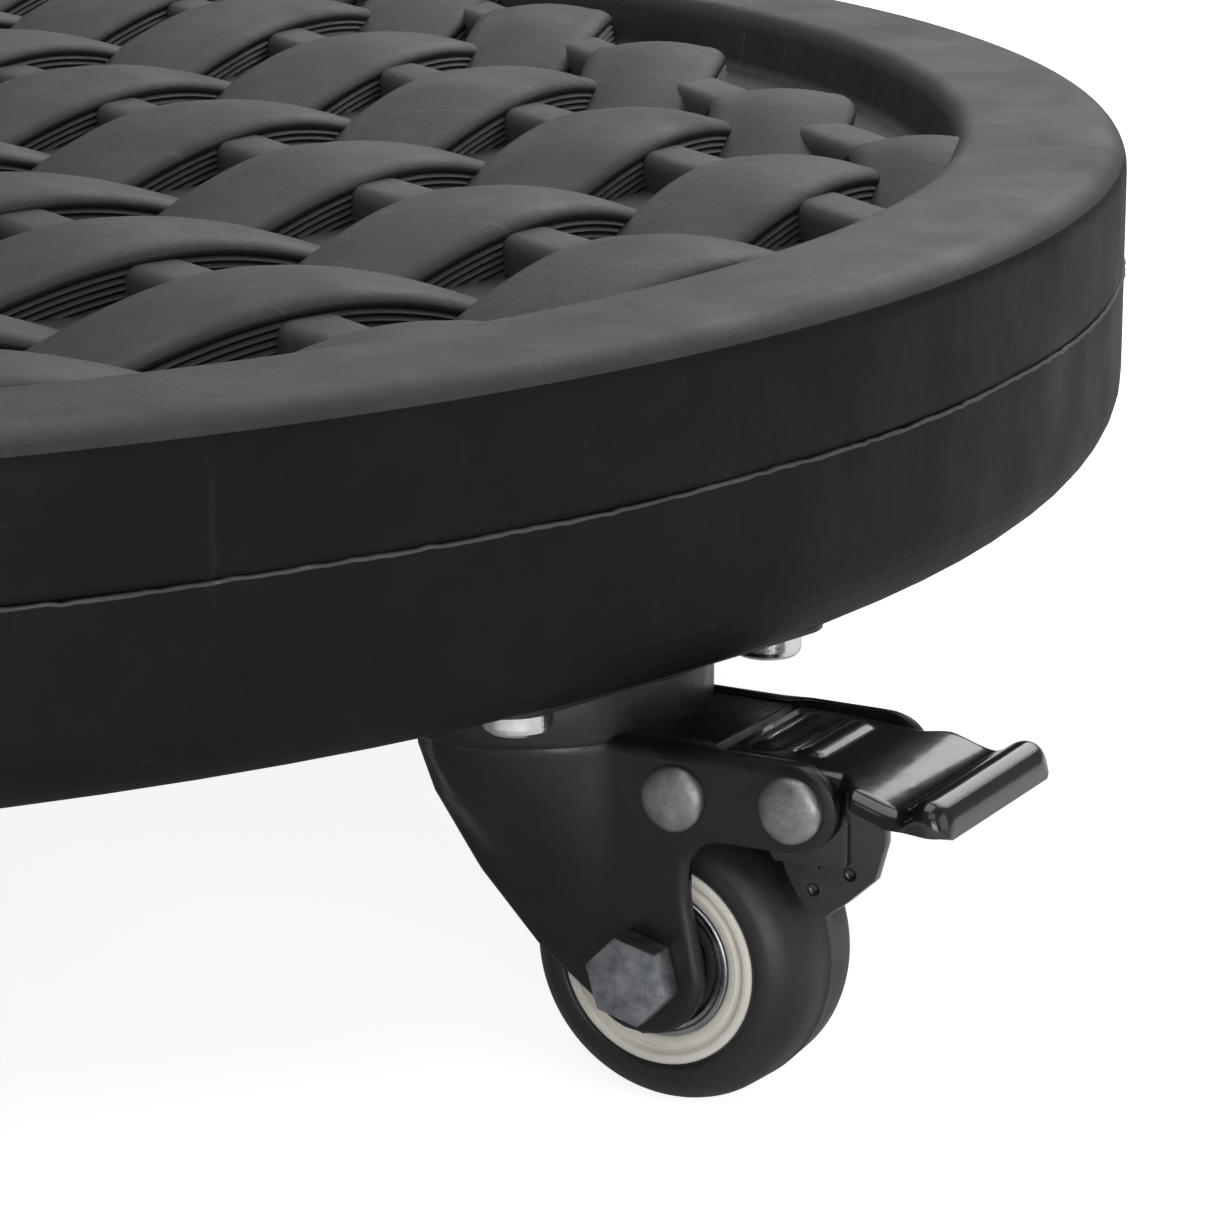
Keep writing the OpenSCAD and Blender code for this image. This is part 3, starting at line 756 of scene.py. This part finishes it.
def build_tyre():
    """Round-shouldered tyre with a moulding seam round its middle and a lip at the core."""
    seam_h, rnd = 0.1, 7.0
    r0 = WHEEL_R - seam_h
    side = [(CORE_R + 0.02, -CORE_HALF + 0.15), (CORE_R + 0.5, -CORE_HALF - 0.1),
            (CORE_R + 1.1, -CORE_HALF - 0.15)]
    side += arc(r0 - rnd, -(TYRE_HALF - rnd), rnd, -62, -14, 9)
    seam = [(r0 - 0.02, -2.2), (r0, -0.35), (WHEEL_R, -0.18), (WHEEL_R, 0.18), (r0, 0.35),
            (r0 - 0.02, 2.2)]
    profile = side + seam + [(r, -y) for r, y in reversed(side)]
    tyre = outward(revolve("tyre_tread", profile, 128, axis="y"))
    sharpen(tyre, 70)
    return paint(tyre, MAT_TYRE)


def build_core():
    """Cream hub: raised outer lip, groove and inner step, both sides."""
    half = [(5.6, -2.8), (9.45, -3.4), (9.5, -CORE_HALF + 0.9), (9.8, -CORE_HALF + 0.55),
            (10.7, -CORE_HALF + 0.5), (11.05, -CORE_HALF + 0.9), (11.3, -CORE_HALF + 1.15),
            (11.55, -CORE_HALF + 0.9), (11.75, -CORE_HALF + 0.15), (12.0, -CORE_HALF),
            (12.75, -CORE_HALF), (13.02, -CORE_HALF + 0.25), (13.05, -CORE_HALF + 1.0)]
    profile = half + [(r, -y) for r, y in reversed(half)]
    core = outward(revolve("wheel_core_hub", profile, 112, axis="y"))
    sharpen(core, 50)
    return paint(core, MAT_CREAM)


def build_bearings():
    """Outer steel rings with dark dished seals."""
    rings, seals = [], []
    mid = CORE_HALF - 0.4 - 3
    for side in (-1, 1):
        ring = [(7.95, mid - 3), (9.3, mid - 3), (9.46, mid - 2.85), (9.46, mid + 2.85), (9.3, mid + 3),
                (8.9, mid + 3), (8.75, mid + 2.75), (8.6, mid + 3), (8.15, mid + 3), (7.95, mid + 2.7)]
        rings.append(revolve("ring", [(r, side * y) for r, y in ring], 80, axis="y"))
        seal = [(6.32, mid - 2.6), (7.96, mid - 2.6), (7.96, mid + 2.4), (7.6, mid + 2.2),
                (7.1, mid + 2.45), (6.6, mid + 2.4), (6.32, mid + 2.1)]
        seals.append(revolve("seal", [(r, side * y) for r, y in seal], 80, axis="y"))
    count = sum(len(o.data.polygons) for o in rings)
    obj = outward(join("bearing_pair", rings + seals))
    obj.data.materials.append(MAT_RING)
    obj.data.materials.append(MAT_SEAL)
    for k, p in enumerate(obj.data.polygons):
        p.material_index = 0 if k < count else 1
    return sharpen(obj, 40)


# ---------------------------------------------------------------- brake pedal
CHEEK_OUT = 11.5
CHEEK_T = 1.8
PEDAL_HALF = 15.3
PEDAL_T = 1.3
SKIRT_FOOT = 23.9
RIB_X = (13.2, 19.2)


def pedal_line(count):
    """The pressed sheet's top seen from the side, nose to lip, at even steps."""
    outline = np.array([(9.6, 28.9), (17.0, 28.9), (24.0, 28.5), (28.2, 27.7), (33.5, 25.95), (35.2, 26.3),
                        (36.6, 27.5), (38.2, 27.9), (39.9, 27.2), (40.8, 25.6), (41.0, 23.4)])
    for _ in range(3):
        cut = [outline[0]]
        for a, b in zip(outline[:-1], outline[1:]):
            cut += [0.75 * a + 0.25 * b, 0.25 * a + 0.75 * b]
        outline = np.array(cut + [outline[-1]])
    run = np.concatenate([[0], np.cumsum(np.hypot(*np.diff(outline, axis=0).T))])
    at = np.linspace(0, run[-1], count)
    return np.interp(at, run, outline[:, 0]), np.interp(at, run, outline[:, 1])


def rib_height(x, y):
    """Two rounded ribs pressed up across the sheet."""
    height, foot, straight = 0.7, 2.5, 6.2
    total = 0
    for middle in RIB_X:
        far = np.hypot(x - middle, np.maximum(np.abs(y) - straight, 0))
        total = total + height * np.cos(np.clip(far / foot, 0, 1) * math.pi / 2) ** 1.5
    return total


def surface_normals(points):
    along, across = np.gradient(points, axis=0), np.gradient(points, axis=1)
    normal = np.cross(along, across)
    normal /= np.linalg.norm(normal, axis=2)[..., None] + 1e-12
    return normal if normal[2, points.shape[1] // 2, 2] > 0 else -normal


def build_pedal_sheet():
    rows, cols, lip_r = 120, 71, 2.4
    x, z = pedal_line(rows)
    points = np.zeros((rows, cols, 3))
    for k in range(rows):
        wide = float(smooth01((x[k] - 25.2) / 3.4))
        half = CHEEK_OUT + (PEDAL_HALF - CHEEK_OUT) * wide + 0.6 * float(smooth01((x[k] - 35) / 4))
        corner = min(max((x[k] - (x[-1] - lip_r)) / lip_r, 0), 1)
        half -= lip_r * (1 - math.sqrt(1 - corner ** 2))
        bend_r = 1.9 + 0.6 * wide
        fall = max((z[k] - SKIRT_FOOT) * wide + 2.4 * (1 - wide), 0.02)
        angle = math.acos(1 - min(fall / bend_r, 1.0))
        flat = half - bend_r * math.sin(angle)
        straight = max(fall - bend_r, 0)
        total = flat + bend_r * angle + straight
        q = np.linspace(-1, 1, cols)
        s = np.abs(q) * total
        turn = np.clip((s - flat) / bend_r, 0, angle)
        down = bend_r * (1 - np.cos(turn)) + np.maximum(s - flat - bend_r * angle, 0)
        y = np.minimum(s, flat) + bend_r * np.sin(turn)
        y = y * np.sign(q)
        points[k] = np.column_stack([np.full(cols, x[k]), y, z[k] - down + rib_height(x[k], y)])
    under = points - surface_normals(points) * PEDAL_T
    count = rows * cols
    faces = grid_faces(rows, cols)
    faces += [tuple(count + k for k in reversed(f)) for f in grid_faces(rows, cols)]
    border = [r * cols for r in range(rows)] + [(rows - 1) * cols + c for c in range(1, cols)]
    border += [r * cols + cols - 1 for r in range(rows - 2, -1, -1)] + list(range(cols - 2, 0, -1))
    for k, a in enumerate(border):
        b = border[(k + 1) % len(border)]
        faces.append((a, b, b + count, a + count))
    verts = np.concatenate([points.reshape(-1, 3), under.reshape(-1, 3)])
    return sharpen(outward(mesh_object("sheet", verts, faces)), 60)


def carve(obj, places, radius):
    """Press round dimples into a piece, places in millimetres."""
    for at in places:
        bm = bmesh.new()
        bmesh.ops.create_icosphere(bm, subdivisions=3, radius=radius * MM)
        bm.transform(Matrix.Translation(Vector(at) * MM))
        mesh = bpy.data.meshes.new("dimple")
        bm.to_mesh(mesh)
        bm.free()
        cutter = bpy.data.objects.new("dimple", mesh)
        bpy.context.scene.collection.objects.link(cutter)
        cut = obj.modifiers.new("cut", "BOOLEAN")
        cut.object = cutter
        cut.operation = "DIFFERENCE"
        bpy.context.view_layer.update()
        carved = bpy.data.meshes.new_from_object(obj.evaluated_get(bpy.context.evaluated_depsgraph_get()))
        obj.modifiers.clear()
        obj.data = carved
        bpy.data.objects.remove(cutter)
    return obj


def build_pedal():
    """Sheet, two cheeks, and the shoe plate between them with its tongue over the tyre."""
    panel = [(14.0, 27.4), (13.8, 24.0), (14.6, 19.5), (16.6, 16.4), (25.9, 16.7), (26.4, 17.2),
             (26.4, 26.8)]
    low_cheek = [(15.4, 24.0), (16.0, 19.6), (18.0, 14.6), (19.4, 12.2), (21.6, 9.8), (22.8, 9.7),
                 (25.9, 12.1), (29.7, 15.6), (31.0, 20.4), (30.9, 24.6), (29.0, 26.4), (20.0, 26.4)]
    short_cheek = [(14.0, 27.4), (14.2, 24.0), (15.4, 21.5), (18.1, 15.5), (28.6, 15.4), (30.9, 20.0),
                   (30.9, 24.6), (29.0, 26.4)]
    tongue = [(20.9, 9.8), (22.4, 9.8), (22.3, 17.0), (21.0, 17.0)]
    shoe = [(20.9, 15.8), (22.4, 15.8), (22.4, 20.0), (20.9, 20.0)]
    step, shoe_half, plate_end, dimple_r = 0.9, 5.5, CHEEK_OUT - 0.5, 0.95
    pieces = [build_pedal_sheet()]
    pieces.append(prism("cheek", panel, -CHEEK_OUT, CHEEK_T - CHEEK_OUT, 0.5, 3))
    hanging = prism("low_cheek", low_cheek, step - CHEEK_OUT, step + CHEEK_T - CHEEK_OUT, 0.4)
    face = step - 0.35 - CHEEK_OUT
    pieces.append(carve(hanging, [(21.6, face, 13.3), (26.4, face, 15.9)], dimple_r))
    pieces.append(prism("short_cheek", short_cheek, CHEEK_OUT - CHEEK_T, CHEEK_OUT, 0.5, 3))
    pieces.append(prism("tongue", tongue, -shoe_half, shoe_half, 0.35))
    pieces.append(prism("shoe", shoe, -plate_end, plate_end, 0.35))
    return paint(join("pedal_pressing", pieces), MAT_PEDAL)


def place(master, castor, name, body, replaces, slot):
    """A copy of a castor piece, moved to one castor and riding on its body."""
    mesh = master.data.copy()
    mesh.transform(local_frame(castor))
    obj = bpy.data.objects.new(castor + "_" + name, mesh)
    bpy.context.scene.collection.objects.link(obj)
    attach(obj, castor + "_" + body)
    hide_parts(castor + "_" + replaces)
    return obj


def build_castors():
    masters = [
        (build_fork(), "fork_sheet", "swivel", "fork", "painted_steel"),
        (build_rivets(), "rivet_heads", "swivel", "rivets", "rivet_steel"),
        (build_bolt(), "axle_bolt_hex", "swivel", "axle_bolt", "zinc_steel"),
        (build_nut(), "axle_nut_hex", "swivel", "axle_nut", "zinc_steel"),
        (build_tyre(), "tyre_tread", "wheel", "tyre", "tyre"),
        (build_core(), "wheel_hub", "wheel", "wheel_core", "cream_plastic"),
        (build_bearings(), "bearing_rings", "wheel", "bearings", "bearing_steel"),
        (build_pedal(), "pedal_pressing", "brake", "brake_pedal", "pedal_paint"),
    ]
    for castor in CASTORS:
        for master, name, body, node, slot in masters:
            place(master, castor, name, body, node, slot)
    for master, *_ in masters:
        bpy.data.objects.remove(master)


def finish_cad_nodes():
    """Materials for the CAD nodes that stay in view."""
    # the lower shell takes the darker deck plastic, whose colour holds painted shade
    looks = {"castor_screws": MAT_BRIGHT_ZINC, "kingpins": MAT_RIVET, "deck_lower_shell": MAT_SIDE_PAINTED_SHADE}
    ends = {"_plate": MAT_FORK, "_race_balls": MAT_RING, "_axle_sleeve": MAT_RING,
            "_brake_spring": MAT_RING}
    for name, obj in frame["nodes"].items():
        for end, mat in ends.items():
            if name.endswith(end):
                looks[name] = mat
        if name in looks:
            for k in range(len(obj.material_slots)):
                obj.material_slots[k].material = looks[name]
            if name == "deck_lower_shell":
                continue
            soften = obj.modifiers.new("soften", "BEVEL")
            soften.width = 0.25 * MM
            soften.segments = 2
            soften.limit_method = "ANGLE"
            soften.angle_limit = math.radians(40)


# ================================================================ studio
def seen_and_lit(tree, seen, lit):
    """One value for the camera's own rays, another for light that reaches the object."""
    path = tree.nodes.new("ShaderNodeLightPath")
    blend = tree.nodes.new("ShaderNodeMix")
    blend.inputs[2].default_value = lit
    blend.inputs[3].default_value = seen
    tree.links.new(path.outputs["Is Camera Ray"], blend.inputs[0])
    return blend.outputs[0]


def floor_material():
    """Pale matte floor with a soft glow of its own, clear when seen from below."""
    mat, tree, bsdf = new_material("studio_floor_pale")
    tone = ramp(tree, noise(tree, 3, 3), [(0.3, grey(0.80)), (0.7, grey(0.84))])
    tree.links.new(tone, bsdf.inputs["Base Color"])
    bsdf.inputs["Roughness"].default_value = 0.9
    bsdf.inputs["Specular IOR Level"].default_value = 0.05
    bsdf.inputs["Emission Color"].default_value = (1, 1, 1, 1)
    tree.links.new(seen_and_lit(tree, 0.86, 0.10), bsdf.inputs["Emission Strength"])
    clear = tree.nodes.new("ShaderNodeBsdfTransparent")
    both = tree.nodes.new("ShaderNodeMixShader")
    side = tree.nodes.new("ShaderNodeNewGeometry")
    tree.links.new(side.outputs["Backfacing"], both.inputs[0])
    tree.links.new(bsdf.outputs[0], both.inputs[1])
    tree.links.new(clear.outputs[0], both.inputs[2])
    output = next(n for n in tree.nodes if n.type == "OUTPUT_MATERIAL")
    tree.links.new(both.outputs[0], output.inputs["Surface"])
    return mat


def studio():
    bpy.ops.mesh.primitive_plane_add(size=14, location=(0, 0, 0))
    floor = bpy.context.object
    floor.name = "studio_floor"
    paint(floor, floor_material())
    world = bpy.data.worlds.new("studio_world")
    world.use_nodes = True
    background = world.node_tree.nodes["Background"]
    background.inputs["Color"].default_value = (1, 1, 1, 1)
    world.node_tree.links.new(seen_and_lit(world.node_tree, 1.0, 0.20), background.inputs["Strength"])
    bpy.context.scene.world = world

    def area(name, at, look, size, power):
        light = bpy.data.lights.new(name, "AREA")
        light.shape = "RECTANGLE"
        light.size, light.size_y = size
        light.energy = power
        obj = bpy.data.objects.new(name, light)
        bpy.context.scene.collection.objects.link(obj)
        obj.location = at
        obj.rotation_euler = (Vector(look) - Vector(at)).to_track_quat("-Z", "Y").to_euler()

    area("top_back_right", (0.75, 0.85, 0.95), (0.1, 0, 0.09), (1.1, 0.8), 4)
    area("top", (-0.1, 0.1, 1.7), (0, 0, 0), (1.5, 1.5), 12)
    area("right_low", (1.2, -0.5, 0.35), (0.17, -0.16, 0.04), (0.8, 0.6), 1.3)
    area("front_low", (0.35, -1.6, 0.55), (0.16, -0.16, 0.04), (0.9, 0.5), 2.2)
    area("backdrop", (0.9, 2.3, 1.3), (0.17, -0.16, 0.04), (2.6, 1.4), 9)
    area("castor_front", (0.32, -0.95, 0.12), (0.165, -0.16, 0.03), (0.5, 0.25), 1.5)
    area("front_high", (0.1, -1.5, 1.6), (0, 0, 0.09), (1.8, 0.9), 5)


def camera():
    """The photograph's viewpoint: low, close, a long lens on the near right castor."""
    side, back, above_rim = 0.134, -0.6896, 0.1096
    forward = Vector((0.0366, 0.9636, -0.2649))
    cam = bpy.data.cameras.new("photo_camera")
    cam.sensor_width = 36
    cam.lens = 135
    obj = bpy.data.objects.new("photo_camera", cam)
    bpy.context.scene.collection.objects.link(obj)
    obj.location = (side, back, RIM_Z * MM + above_rim)
    obj.rotation_euler = forward.to_track_quat("-Z", "Y").to_euler()
    cam.clip_start = 0.01
    bpy.context.scene.camera = obj


build_shells()
parting_flash()
build_bands()
build_rods()
build_castors()
finish_cad_nodes()
studio()
camera()
bpy.context.scene.view_settings.view_transform = "Standard"
